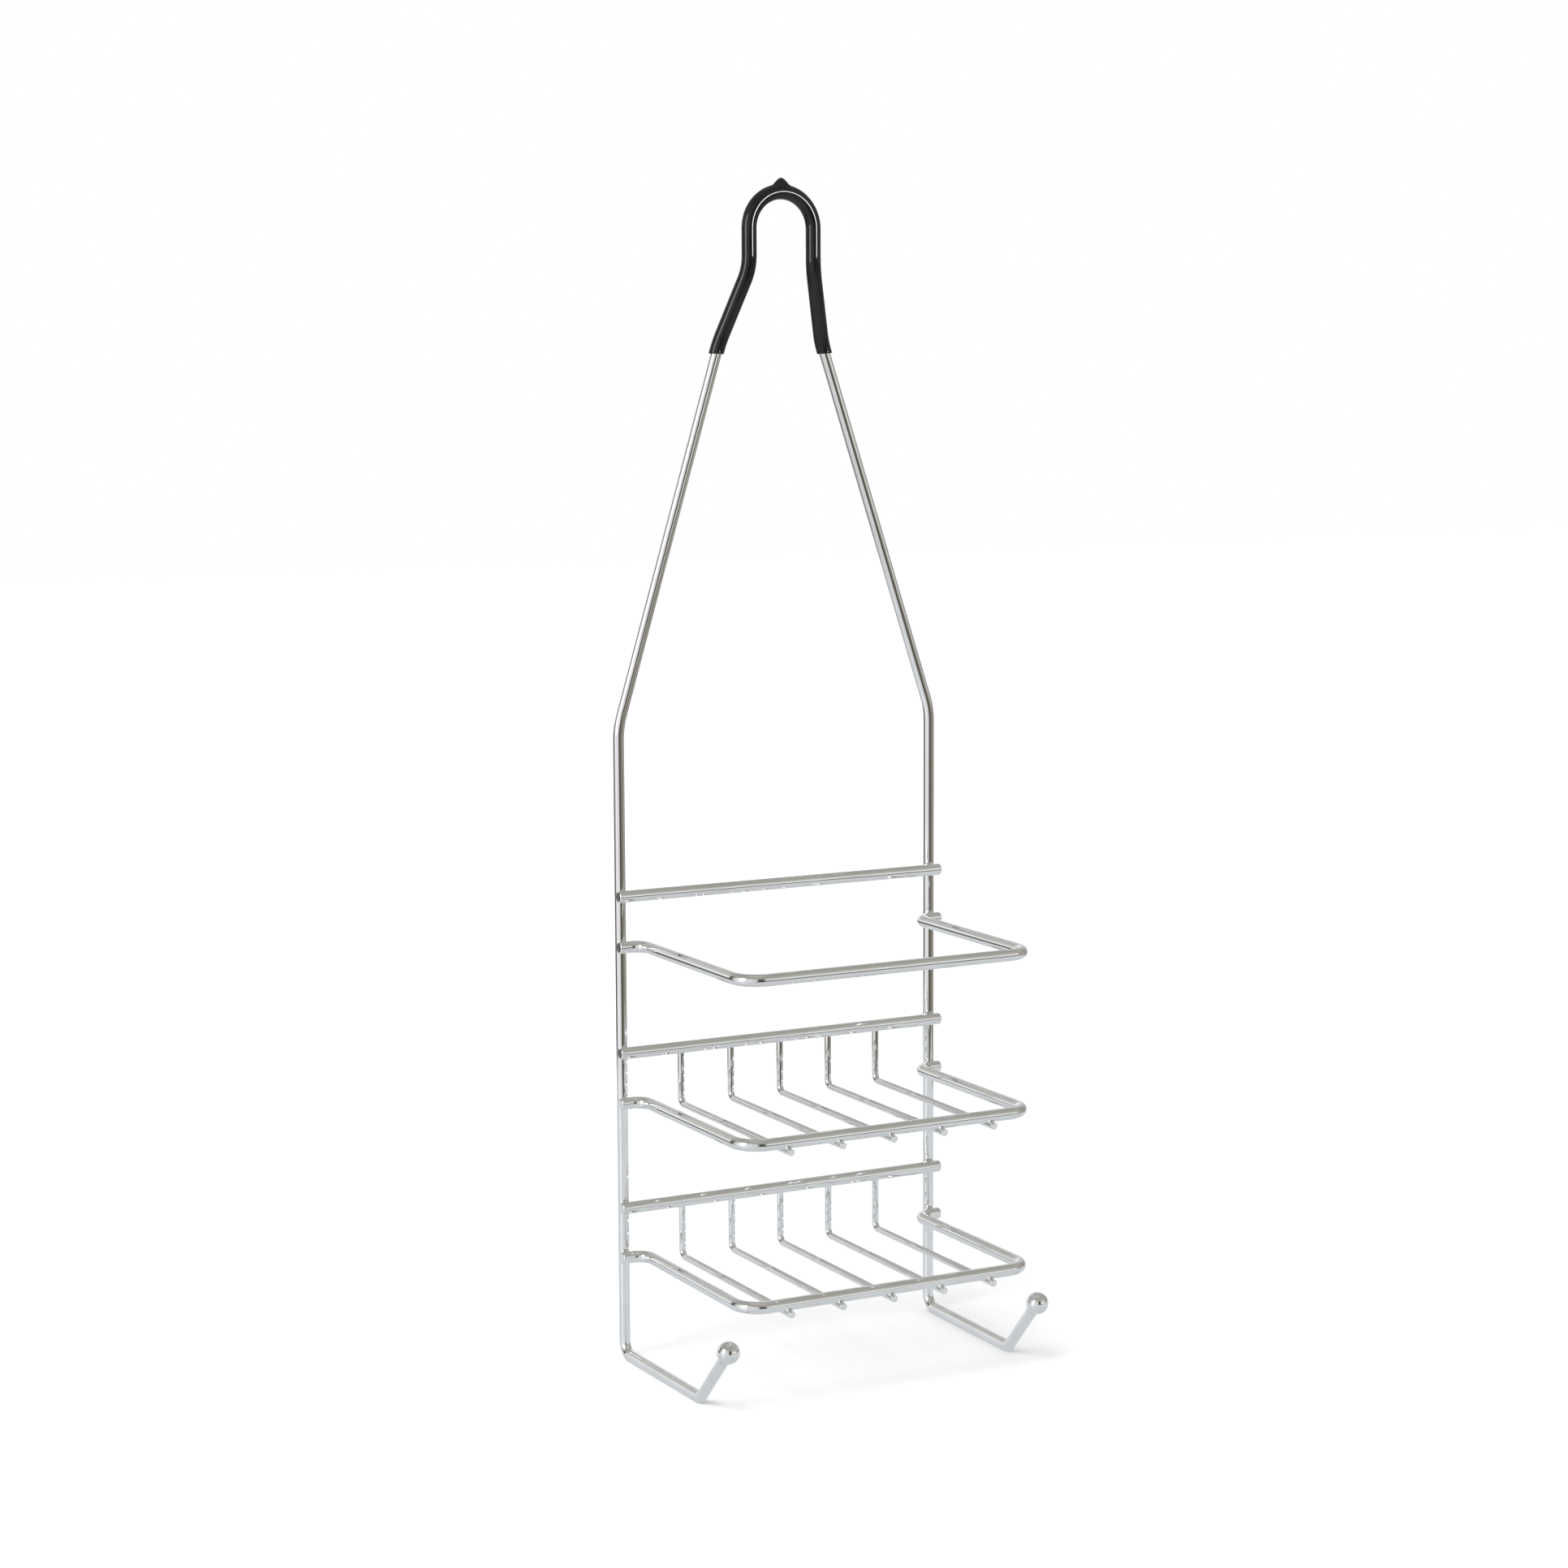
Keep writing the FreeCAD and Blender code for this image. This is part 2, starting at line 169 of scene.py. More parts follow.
class CaddyLoopSizes(PropertyGroup):
    arm_spacing: length("Arm spacing", "Distance between the arms' centre lines", 0.1564)
    stub_bend: length("Stub bend", "Bend radius from stub to arm", 0.008)
    corner_bend: length("Corner bend", "Bend radius from arm to front bar", 0.012)
    shelf_bend: length("Shelf bend", "Bend radius of the shelf wires", 0.0036)


class CaddyGripSizes(PropertyGroup):
    coat_dia: length("Coat", "Outer diameter of the dipped vinyl", 0.0075)
    end_drop: length("End drop", "Depth at which the coat ends", 0.075)
    lip_rounding: length("Lip", "Radius of the coat's rim", 0.00045)
    pip_dia: length("Pip", "Width of the drip pip at its foot", 0.0106)
    pip_top: length("Pip top", "Height of the drip pip above the resting point", 0.0106)
    rim_slant: FloatProperty(name="Rim slant", description="Slope of the coat's rim across the wire",
                             default=0.24, min=0.0, max=1.0)
    sides: IntProperty(name="Sides", description="Flats round the coat before smoothing",
                       default=64, min=12, max=96)
    bend_step: FloatProperty(name="Bend step", description="Turn between two rings of the coat",
                             default=math.radians(1.5), subtype="ANGLE", unit="ROTATION")


class CaddyWeldSizes(PropertyGroup):
    leg_reach: length("Leg weld", "Half the spread of a weld at a leg", 0.0024)
    leg_depth: length("Leg weld depth", "Half the thickness of a weld at a leg", 0.0012)
    shelf_reach: length("Shelf weld", "Half the spread of a weld at a shelf wire", 0.0018)
    shelf_depth: length("Shelf weld depth", "Half the thickness of a shelf weld", 0.0009)


class CaddyFinishes(PropertyGroup):
    chrome: colour("Chrome", "Colour of the chrome plate", (0.87, 0.87, 0.872))
    chrome_dull: colour("Dull chrome", "Colour of the plate where it is thin", (0.82, 0.815, 0.81))
    chrome_roughness: share("Chrome roughness", "Roughness of the brightest plate", 0.018)
    chrome_haze: share("Chrome haze", "Roughness of the haziest plate", 0.05)
    vinyl: colour("Vinyl", "Colour of the dipped vinyl", (0.0035, 0.0033, 0.0035))
    vinyl_thick: colour("Thick vinyl", "Colour of the vinyl where it has sagged",
                        (0.006, 0.0057, 0.0056))
    vinyl_roughness: share("Vinyl roughness", "Roughness of the vinyl's gloss", 0.05)
    vinyl_haze: share("Vinyl haze", "Roughness where the vinyl has rippled", 0.11)


class CaddyStudio(PropertyGroup):
    camera_place: FloatVectorProperty(name="Camera", description="Place of the camera", size=3,
                                      default=(-0.7574, -1.4377, -0.0788), subtype="TRANSLATION",
                                      unit="LENGTH")
    camera_target: FloatVectorProperty(name="Target", description="Point the camera looks at",
                                       size=3, default=(0.00357, 0.0063, -0.29005),
                                       subtype="TRANSLATION", unit="LENGTH")
    camera_roll: FloatProperty(name="Roll", description="Turn of the camera about its view",
                               default=math.radians(-0.24), subtype="ANGLE", unit="ROTATION")
    camera_lens: FloatProperty(name="Lens", description="Focal length on a 36 mm sensor",
                               default=74.95, min=10.0, subtype="DISTANCE_CAMERA", unit="CAMERA")
    floor_size: length("Floor", "Side of the floor", 12.0)
    sheet_size: length("Paper sheet", "Side of the paper that the chrome mirrors", 1.3)
    glow_start: length("Glow start", "Distance at which the floor starts to fade", 0.7)
    glow_end: length("Glow end", "Distance at which the floor is plain white", 1.6)
    floor_glow: FloatProperty(name="Floor glow", description="Light of the far floor",
                              default=0.4, min=0.0)
    floor_colour: colour("Floor colour", "Colour of the floor", (0.82, 0.82, 0.82))
    sheet_colour: colour("Sheet glow", "Light that the paper sheet gives back", (0.64, 0.675, 0.70))


# ---------------------------------------------------------------- wire bending in a bmesh


def ring_edges(geometry):
    """The open ring of edges in what an extrude or a spin gave back."""
    verts = {item for item in geometry if isinstance(item, bmesh.types.BMVert)}
    edges = [item for item in geometry if isinstance(item, bmesh.types.BMEdge)]
    return [edge for edge in edges if set(edge.verts) <= verts]


def ring_verts(ring):
    return list(dict.fromkeys(vert for edge in ring for vert in edge.verts))


def push_ring(mesh, ring, step, scale=1.0, centre=None):
    """Extrudes a ring of edges along a step, and scales it about a centre."""
    grown = bmesh.ops.extrude_edge_only(mesh, edges=ring)["geom"]
    new_ring = ring_edges(grown)
    verts = ring_verts(new_ring)
    bmesh.ops.translate(mesh, vec=step, verts=verts)
    if scale != 1.0:
        about = Matrix.Translation(-(centre + step))
        bmesh.ops.scale(mesh, vec=(scale, scale, scale), space=about, verts=verts)
    return new_ring


def first_ring(mesh, place, heading, radius, sides):
    """A ring of edges across a heading."""
    turn = heading.to_track_quat("Z", "Y").to_matrix().to_4x4()
    made = bmesh.ops.create_circle(mesh, segments=sides, radius=radius, cap_ends=False,
                                   matrix=Matrix.Translation(place) @ turn)
    return list(dict.fromkeys(edge for vert in made["verts"] for edge in vert.link_edges))


def round_rim(mesh, ring, centre, heading, radius, rounding, opening):
    """Rings from a flat cut end out to the full radius, or the other way round."""
    angles = [math.pi / 2 * n / RIM_STEPS for n in range(RIM_STEPS + 1)]
    if not opening:
        angles.reverse()
    for before, after in zip(angles, angles[1:]):
        advance = rounding * abs(math.cos(before) - math.cos(after))
        widths = [radius - rounding + rounding * math.sin(angle) for angle in (before, after)]
        ring = push_ring(mesh, ring, heading * advance, widths[1] / widths[0], centre)
        centre = centre + heading * advance
    return ring, centre


def lay_wire(mesh, corners, bends, radius, rounding, sides, bend_step, capped=True):
    """Round wire bent along its corners, with rounded cut ends. Returns its two end rings."""
    heading = (corners[1] - corners[0]).normalized()
    start_radius = radius - rounding
    place = corners[0].copy()
    start = first_ring(mesh, place, heading, start_radius, sides)
    ring, place = round_rim(mesh, start, place, heading, radius, rounding, True)
    for corner, after, bend in zip(corners[1:], corners[2:], bends):
        leaving = (after - corner).normalized()
        turn = heading.angle(leaving)
        reach = bend * math.tan(turn / 2)
        run = (corner - heading * reach) - place
        if run.length > SAME_POINT:
            ring = push_ring(mesh, ring, run)
        place = place + run
        inwards = (leaving - heading * leaving.dot(heading)).normalized()
        steps = max(LEAST_BEND_STEPS, round(turn / bend_step))
        spun = bmesh.ops.spin(mesh, geom=ring_verts(ring) + ring, cent=place + inwards * bend,
                              axis=heading.cross(leaving).normalized(), dvec=(0, 0, 0),
                              angle=turn, steps=steps, use_merge=False, use_duplicate=False)
        ring = ring_edges(spun["geom_last"])
        place = corner + leaving * reach
        heading = leaving
    run = (corners[-1] - heading * rounding) - place
    if run.length > SAME_POINT:
        ring = push_ring(mesh, ring, run)
    ring, place = round_rim(mesh, ring, place + run, heading, radius, rounding, False)
    if capped:
        bmesh.ops.edgeloop_fill(mesh, edges=start)
        bmesh.ops.edgeloop_fill(mesh, edges=ring)
    return start, ring


def add_ball(mesh, radius, flats, matrix):
    """A ball with so many flats round it and from pole to pole."""
    bmesh.ops.create_uvsphere(mesh, u_segments=flats[0], v_segments=flats[1], radius=radius,
                              matrix=matrix)


def add_weld(mesh, place, reach):
    """Small nugget of metal that fills the crevice where two wires cross."""
    add_ball(mesh, 1.0, WELD_FLATS, Matrix.Translation(place) @ Matrix.Diagonal((*reach, 1.0)))


def add_leg_welds(mesh, bar_y, bar_z):
    """Nuggets where a bar crosses the two legs."""
    sizes = bpy.context.scene.caddy_frame
    wires = bpy.context.scene.caddy_wires
    welds = bpy.context.scene.caddy_welds
    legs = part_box("frame_wire")[1].x - wires.frame_wire / 2
    contact = (sizes.legs_back - wires.frame_wire / 2 + bar_y + wires.bar_wire / 2) / 2
    for side in (-1, 1):
        place = Vector((side * legs, contact, bar_z))
        add_weld(mesh, place, (welds.leg_reach, welds.leg_depth, welds.leg_reach))


def add_shelf_welds(mesh, level, y, z, reach):
    """Nuggets where a bar crosses its level's shelf wires. The upper level has none."""
    if level in SHELF_LEVELS:
        for number in range(1, SHELF_WIRES + 1):
            x = middle(shelf_wire(level, number)).x
            add_weld(mesh, Vector((x, y, z)), reach)


def finish_piece(mesh, name, nodes, material):
    """Turns a bmesh into a piece that rides with the frame and stands for its CAD nodes."""
    bmesh.ops.remove_doubles(mesh, verts=mesh.verts, dist=SAME_POINT)
    bmesh.ops.recalc_face_normals(mesh, faces=mesh.faces)
    # Everything is smooth but the flat cut ends, which are the only faces of many corners.
    for face in mesh.faces:
        face.smooth = len(face.verts) <= 4
    data = bpy.data.meshes.new(name)
    mesh.to_mesh(data)
    mesh.free()
    data.materials.append(material)
    piece = bpy.data.objects.new(name, data)
    bpy.context.scene.collection.objects.link(piece)
    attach(piece, BODY)
    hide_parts(*nodes)


def mirrored(points):
    """The same points on the other side of the middle plane, in reverse order."""
    return [Vector((-p.x, p.y, p.z)) for p in reversed(points)]


def middle(node):
    """Centre of a CAD node's box."""
    low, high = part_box(node)
    return (low + high) / 2


def shelf_wire(level, number):
    """Name of a shelf wire's CAD node."""
    return "%s_shelf_wire_%d" % (level, number)


# ---------------------------------------------------------------- materials


def new_material(name):
    """A node material. Returns it with its tree and its shader."""
    material = bpy.data.materials.new(name)
    material.use_nodes = True
    tree = material.node_tree
    shader = tree.nodes["Principled BSDF"]
    return material, tree, shader


def add_noise(tree, scale, detail, coordinates):
    """Noise over the piece's own coordinates, a count of cells per metre."""
    noise = tree.nodes.new("ShaderNodeTexNoise")
    noise.inputs["Scale"].default_value = scale
    noise.inputs["Detail"].default_value = detail
    tree.links.new(coordinates, noise.inputs["Vector"])
    return noise.outputs["Fac"]


def map_between(tree, factor, low, high, start=0.35, end=0.65):
    """A number that goes from low to high as the factor goes from start to end."""
    span = tree.nodes.new("ShaderNodeMapRange")
    for socket, number in (("From Min", start), ("From Max", end), ("To Min", low), ("To Max", high)):
        span.inputs[socket].default_value = number
    tree.links.new(factor, span.inputs["Value"])
    return span.outputs["Result"]


def mix_colours(tree, factor, first, second):
    """Mixes two colours, each of them given as numbers or as another node's socket."""
    mix = tree.nodes.new("ShaderNodeMix")
    mix.data_type = "RGBA"
    tree.links.new(factor, mix.inputs["Factor"])
    for name, shade in (("A", first), ("B", second)):
        if isinstance(shade, bpy.types.NodeSocket):
            tree.links.new(shade, mix.inputs[name])
        else:
            mix.inputs[name].default_value = (*shade, 1.0)
    return mix.outputs["Result"]


def add_bump(tree, height, depth, strength, under=None):
    """A bump, laid over another one if that is given."""
    bump = tree.nodes.new("ShaderNodeBump")
    bump.inputs["Distance"].default_value = depth
    bump.inputs["Strength"].default_value = strength
    tree.links.new(height, bump.inputs["Height"])
    if under:
        tree.links.new(under, bump.inputs["Normal"])
    return bump.outputs["Normal"]


def chrome_material():
    """Bright plate over drawn wire: slow waves in the metal, a fine grain and cloudy patches."""
    found = bpy.data.materials.get("bright_chrome")
    if found:
        return found
    finish = bpy.context.scene.caddy_finishes
    material, tree, shader = new_material("bright_chrome")
    place = tree.nodes.new("ShaderNodeTexCoord").outputs["Object"]
    cloud = add_noise(tree, *PLATE_CLOUDS, place)
    grain = add_noise(tree, *PLATE_GRAIN, place)
    waves = add_noise(tree, *PLATE_WAVES, place)
    plate = mix_colours(tree, map_between(tree, cloud, 0.0, 1.0), finish.chrome_dull, finish.chrome)
    haze = map_between(tree, grain, finish.chrome_roughness, finish.chrome_haze)
    normal = add_bump(tree, waves, *WAVE_BUMP)
    normal = add_bump(tree, grain, *GRAIN_BUMP, normal)
    shader.inputs["Metallic"].default_value = 1.0
    tree.links.new(plate, shader.inputs["Base Color"])
    tree.links.new(haze, shader.inputs["Roughness"])
    tree.links.new(normal, shader.inputs["Normal"])
    return material


def vinyl_material():
    """Dipped vinyl: deep black gloss with slow sags and a fine orange peel."""
    found = bpy.data.materials.get("dipped_vinyl")
    if found:
        return found
    finish = bpy.context.scene.caddy_finishes
    material, tree, shader = new_material("dipped_vinyl")
    place = tree.nodes.new("ShaderNodeTexCoord").outputs["Object"]
    sags = add_noise(tree, *COAT_SAGS, place)
    peel = add_noise(tree, *COAT_PEEL, place)
    tone = mix_colours(tree, map_between(tree, sags, 0.0, 1.0), finish.vinyl, finish.vinyl_thick)
    gloss = map_between(tree, peel, finish.vinyl_roughness, finish.vinyl_haze)
    normal = add_bump(tree, sags, *SAG_BUMP)
    normal = add_bump(tree, peel, *PEEL_BUMP, normal)
    shader.inputs["IOR"].default_value = VINYL_IOR
    tree.links.new(tone, shader.inputs["Base Color"])
    tree.links.new(gloss, shader.inputs["Roughness"])
    tree.links.new(normal, shader.inputs["Normal"])
    return material


# ---------------------------------------------------------------- pieces


def frame_corners():
    """Corners of the right half of the frame wire, from the crown down to the hook's front."""
    sizes = bpy.context.scene.caddy_frame
    radius = bpy.context.scene.caddy_wires.frame_wire / 2
    low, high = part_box("frame_wire")
    leg_x = high.x - radius
    hook_z = low.z + radius
    front = sizes.legs_back - sizes.hook_forward
    return [
        Vector((sizes.arch_radius, 0, sizes.crown_height)),
        Vector((sizes.arch_radius, 0, -sizes.neck_drop)),
        Vector((sizes.throat_half_width, sizes.throat_back, -sizes.throat_drop)),
        Vector((leg_x, sizes.legs_back, -sizes.shoulder_drop)),
        Vector((leg_x, sizes.legs_back, hook_z)),
        Vector((leg_x - sizes.hook_toe_in, front, hook_z)),
    ]


class CADDY_OT_frame_wire(Operator):
    """Bend the one wire of hooks, legs, shoulders and arch"""

    bl_idname = "caddy.frame_wire"
    bl_label = "Frame Wire"

    def execute(self, context):
        wires = context.scene.caddy_wires
        sizes = context.scene.caddy_frame
        right = frame_corners()
        ball = middle("hook_ball_right")
        low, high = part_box("hook_ball_right")
        reach = (high.z - low.z) / 2 - sizes.ball_socket
        right.append(ball + (right[-1] - ball).normalized() * reach)
        bends = [sizes.arch_radius, sizes.neck_bend, sizes.neck_bend]
        bends += [sizes.shoulder_bend, sizes.heel_bend, sizes.hook_bend]
        mesh = bmesh.new()
        lay_wire(mesh, mirrored(right) + right, bends[::-1] + bends, wires.frame_wire / 2,
                 wires.bar_rounding, wires.sides, wires.bend_step)
        finish_piece(mesh, "chrome_frame_wire", ["frame_wire"], chrome_material())
        return {"FINISHED"}


class CADDY_OT_vinyl_grip(Operator):
    """Dip the arch and neck in vinyl, with its drip pip and its slanted rims"""

    bl_idname = "caddy.vinyl_grip"
    bl_label = "Vinyl Grip"

    def execute(self, context):
        wires = context.scene.caddy_wires
        sizes = context.scene.caddy_frame
        grip = context.scene.caddy_grip
        right = frame_corners()
        throat, shoulder = right[2:4]
        part = (-grip.end_drop - throat.z) / (shoulder.z - throat.z)
        end = throat + (shoulder - throat) * part
        route = right[:3] + [end]
        route = mirrored(route) + route
        bends = [sizes.arch_radius, sizes.neck_bend, sizes.neck_bend]
        bends = bends[::-1] + bends
        mesh = bmesh.new()
        outer = lay_wire(mesh, route, bends, grip.coat_dia / 2, grip.lip_rounding, grip.sides,
                         grip.bend_step, capped=False)
        inner = lay_wire(mesh, route, bends, wires.frame_wire / 2, 0.0, grip.sides,
                         grip.bend_step, capped=False)
        for outer_ring, inner_ring in zip(outer, inner):
            bmesh.ops.bridge_loops(mesh, edges=outer_ring + inner_ring)
        self.raise_pip(mesh, grip, sizes.crown_height)
        self.slant_rims(mesh, grip, end, (end - throat).normalized())
        finish_piece(mesh, GRIP_PIECE, ["vinyl_grip"], vinyl_material())
        return {"FINISHED"}

    def raise_pip(self, mesh, grip, crown):
        """The last drop of vinyl dries as a small flared knob on the crown."""
        foot = grip.pip_dia / 2
        for vert in mesh.verts:
            spread = math.hypot(vert.co.x, vert.co.y) / foot
            rise = (vert.co.z - crown) / (grip.coat_dia / 2)
            if spread < 1 and rise > 0:
                lift = min(1.0, rise) ** 2 * (1 - spread ** 2) ** 2
                vert.co.z += (grip.pip_top - vert.co.z) * lift

    def slant_rims(self, mesh, grip, end, along):
        """The coat ends lower on the outer side of each branch."""
        reach = 2 * grip.coat_dia
        across = Vector((0, 1, 0)).cross(along).normalized()
        for vert in mesh.verts:
            side = math.copysign(1.0, vert.co.x)
            place = Vector((vert.co.x * side, vert.co.y, vert.co.z)) - end
            fade = 1 + place.dot(along) / reach
            if 0 < fade and place.length < reach:
                shift = along * (-place.dot(across) * grip.rim_slant * min(fade, 1.0))
                vert.co += Vector((shift.x * side, shift.y, shift.z))


class CADDY_OT_hook_balls(Operator):
    """Turn the two balls and run their weld fillets on to the wire tips"""

    bl_idname = "caddy.hook_balls"
    bl_label = "Hook Balls"

    def execute(self, context):
        sizes = context.scene.caddy_frame
        wire = context.scene.caddy_wires.frame_wire / 2
        toe = frame_corners()[-1]
        for name, side in (("left", -1), ("right", 1)):
            node = "hook_ball_" + name
            centre = middle(node)
            low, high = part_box(node)
            down = (Vector((toe.x * side, toe.y, toe.z)) - centre).normalized()
            turn = (-down).to_track_quat("Z", "Y").to_matrix().to_4x4()
            mesh = bmesh.new()
            add_ball(mesh, (high.z - low.z) / 2, BALL_FLATS, Matrix.Translation(centre) @ turn)
            self.draw_fillet(mesh, centre, down, wire, sizes.ball_fillet)
            finish_piece(mesh, "chrome_" + node, [node], chrome_material())
        return {"FINISHED"}

    def draw_fillet(self, mesh, centre, down, wire, width):
        """Draws the ball's skin down on to the wire in a hollow curve."""
        for vert in mesh.verts:
            offset = vert.co - centre
            depth = offset.dot(down)
            spread = (offset - down * depth).length
            if depth > 0 and spread < wire + width:
                hollow = min(1.0, (wire + width - spread) / width)
                vert.co += down * (width * hollow ** 2)


class CADDY_OT_rails(Operator):
    """Cut the three rails and weld them across the legs and shelf wires"""

    bl_idname = "caddy.rails"
    bl_label = "Rails"

    def execute(self, context):
        wires = context.scene.caddy_wires
        welds = context.scene.caddy_welds
        for level in LEVELS:
            node = level + "_rail"
            low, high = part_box(node)
            centre = (low + high) / 2
            ends = [Vector((x, centre.y, centre.z)) for x in (low.x, high.x)]
            mesh = bmesh.new()
            lay_wire(mesh, ends, [], wires.bar_wire / 2, wires.bar_rounding, wires.sides,
                     wires.bend_step)
            add_leg_welds(mesh, centre.y, centre.z)
            add_shelf_welds(mesh, level, centre.y + wires.bar_wire / 2, centre.z,
                            (welds.shelf_reach, welds.shelf_depth, welds.shelf_reach))
            finish_piece(mesh, "chrome_" + node, [node], chrome_material())
        return {"FINISHED"}


class CADDY_OT_front_loops(Operator):
    """Bend the three front loops and weld their stubs to the legs"""

    bl_idname = "caddy.front_loops"
    bl_label = "Front Loops"

    def execute(self, context):
        wires = context.scene.caddy_wires
        loops = context.scene.caddy_loops
        welds = context.scene.caddy_welds
        radius = wires.bar_wire / 2
        for level in LEVELS:
            node = level + "_loop"
            low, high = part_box(node)
            back = high.y - radius
            front = low.y + radius
            height = (low.z + high.z) / 2
            arm = loops.arm_spacing / 2
            right = [Vector((arm, front, height)), Vector((arm, back, height)),
                     Vector((high.x, back, height))]
            bends = [loops.corner_bend, loops.stub_bend]
            mesh = bmesh.new()
            lay_wire(mesh, mirrored(right) + right, bends[::-1] + bends, radius,
                     wires.bar_rounding, wires.sides, wires.bend_step)
            add_leg_welds(mesh, back, height)
            add_shelf_welds(mesh, level, front, height - radius,
                            (welds.shelf_reach, welds.shelf_reach, welds.shelf_depth))
            finish_piece(mesh, "chrome_" + node, [node], chrome_material())
        return {"FINISHED"}


class CADDY_OT_shelf_wires(Operator):
    """Bend the shelf wires down behind the rails and forward under the front bars"""

    bl_idname = "caddy.shelf_wires"
    bl_label = "Shelf Wires"

    def execute(self, context):
        wires = context.scene.caddy_wires
        bend = context.scene.caddy_loops.shelf_bend
        radius = wires.shelf_wire / 2
        for level in SHELF_LEVELS:
            for number in range(1, SHELF_WIRES + 1):
                node = shelf_wire(level, number)
                low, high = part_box(node)
                x = (low.x + high.x) / 2
                corners = [
                    Vector((x, high.y - radius, high.z)),
                    Vector((x, high.y - radius, low.z + radius)),
                    Vector((x, low.y, low.z + radius)),
                ]
                mesh = bmesh.new()
                lay_wire(mesh, corners, [bend], radius, wires.shelf_rounding, wires.sides,
                         wires.bend_step)
                finish_piece(mesh, "chrome_" + node, [node], chrome_material())
        return {"FINISHED"}


# ---------------------------------------------------------------- stage


# The room that the chrome and the vinyl mirror. First what stands level with them, by the angle
# round from the camera in degrees, positive to the right: a white wall on the left with a dark
# one behind it, a dark doorway in front and a taupe wall on the right.
ROOM_ROUND = (
    (-180, (0.75, 0.76, 0.77)),
    (-152, (0.50, 0.50, 0.49)),
    (-134, (0.17, 0.168, 0.16)),
    (-104, (0.09, 0.088, 0.082)),
    (-94, (0.30, 0.298, 0.29)),
    (-84, (0.72, 0.72, 0.72)),
    (-60, (1.05, 1.05, 1.06)),
    (-38, (0.84, 0.84, 0.865)),
    (-12, (0.78, 0.78, 0.80)),
    (-2, (0.66, 0.65, 0.64)),
    (4, (0.30, 0.29, 0.27)),
    (11, (0.085, 0.08, 0.068)),
    (26, (0.10, 0.092, 0.068)),
    (36, (0.19, 0.175, 0.14)),
    (55, (0.215, 0.20, 0.16)),
    (72, (0.25, 0.235, 0.195)),
    (88, (0.33, 0.315, 0.275)),
    (108, (0.41, 0.40, 0.36)),
    (134, (0.33, 0.32, 0.29)),
    (156, (0.52, 0.51, 0.49)),
    (180, (0.75, 0.76, 0.77)),
)
# Then what is above and below that, by height in degrees: the floor, a dark skirting, a white
# line and the ceiling.
ROOM_UP = (
    (-90, (0.60, 0.60, 0.61)),
    (-46, (0.76, 0.77, 0.785)),
    (-28, (0.50, 0.50, 0.51)),
    (-19, (0.36, 0.36, 0.37)),
    (-14, (0.58, 0.58, 0.59)),
    (-4, (0.70, 0.70, 0.71)),
    (9, (1.05, 1.05, 1.06)),
    (18, (0.66, 0.66, 0.65)),
    (35, (0.46, 0.46, 0.435)),
    (63, (0.37, 0.37, 0.335)),
    (84, (0.56, 0.56, 0.53)),
    (90, (0.62, 0.62, 0.60)),
)
# How far the first set holds at each height, from 0 to 1.
ROUND_HOLD = ((-90, 0), (-16, 0), (-12, 1), (-3, 1), (5, 0), (90, 0))
# On the left wall and far round on the right it holds over more heights than that.
WALL_HOLD = ((-90, 0), (-34, 0), (-20, 1), (26, 1), (44, 0), (90, 0))
WALL_SIDES = ((-180, 0), (-118, 0), (-110, 1), (-6, 1), (4, 0), (80, 0), (98, 1), (180, 1))
# The doorway's height, width and shade.
DOORWAY_HOLD = ((-90, 0), (-26, 0), (-16, 1), (24, 1), (40, 0), (90, 0))
DOORWAY_SIDES = ((-180, 0), (3, 0), (11, 1), (29, 1), (40, 0), (180, 0))
DOORWAY_SHADE = (0.09, 0.084, 0.066)


def angle_ramp(tree, factor, stops):
    """Ramp of colours, or of numbers, whose stops are at angles from the first to the last."""
    ramp = tree.nodes.new("ShaderNodeValToRGB")
    marks = ramp.color_ramp.elements
    low = stops[0][0]
    high = stops[-1][0]
    for angle, _ in stops[1:-1]:
        marks.new((angle - low) / (high - low))
    for mark, (_, shade) in zip(marks, stops):
        mark.color = (*shade, 1.0) if isinstance(shade, tuple) else (shade, shade, shade, 1.0)
    tree.links.new(factor, ramp.inputs["Fac"])
    return ramp.outputs["Color"]


def add_math(tree, operation, *values):
    """One step of arithmetic on numbers and sockets."""
    node = tree.nodes.new("ShaderNodeMath")
    node.operation = operation
    for socket, item in zip(node.inputs, values):
        if isinstance(item, bpy.types.NodeSocket):
            tree.links.new(item, socket)
        else:
            socket.default_value = item
    return node.outputs["Value"]


def add_dot(tree, vector, axis):
    """How far a vector points along an axis."""
    node = tree.nodes.new("ShaderNodeVectorMath")
    node.operation = "DOT_PRODUCT"
    tree.links.new(vector, node.inputs[0])
    node.inputs[1].default_value = axis
    return node.outputs["Value"]


